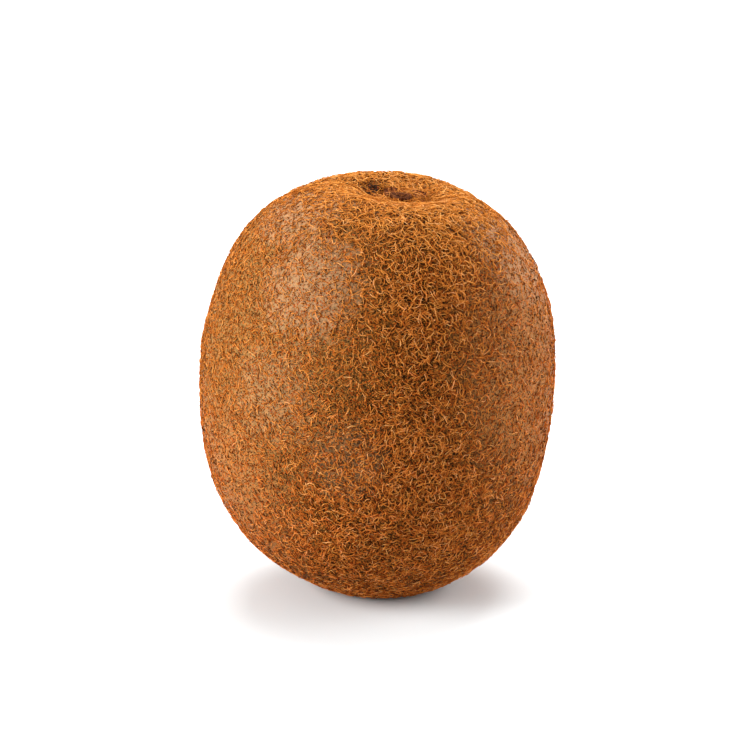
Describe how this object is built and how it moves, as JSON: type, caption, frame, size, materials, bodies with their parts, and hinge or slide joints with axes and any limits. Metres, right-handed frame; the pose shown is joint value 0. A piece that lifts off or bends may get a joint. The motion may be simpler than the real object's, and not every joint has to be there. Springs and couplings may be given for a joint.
{
  "type": "kiwi fruit",
  "caption": "Whole brown fuzzy kiwi fruit standing on its blossom end, with a dry stalk scar and curled sepals in the dip at its crown.",
  "frame": {"origin": "centre of the bounding box's base, on the surface the fruit stands on", "axes": "+Z from the blossom end up to the stem end; +X to the right of the side that faces the viewer; -Y towards the viewer"},
  "size_m": [0.0552, 0.0534, 0.0649],
  "materials": {
    "fuzzy_skin": "matte, covered in short hair",
    "dry_stalk": "dry and rough",
    "dry_sepal": "dry and papery",
    "dry_style": "dry and rough"
  },
  "bodies": {
    "root": {"fruit": "fuzzy_skin", "pedicel_scar": "dry_stalk", "dried_sepals": "dry_sepal", "dried_styles": "dry_style"}
  },
  "joints": []
}
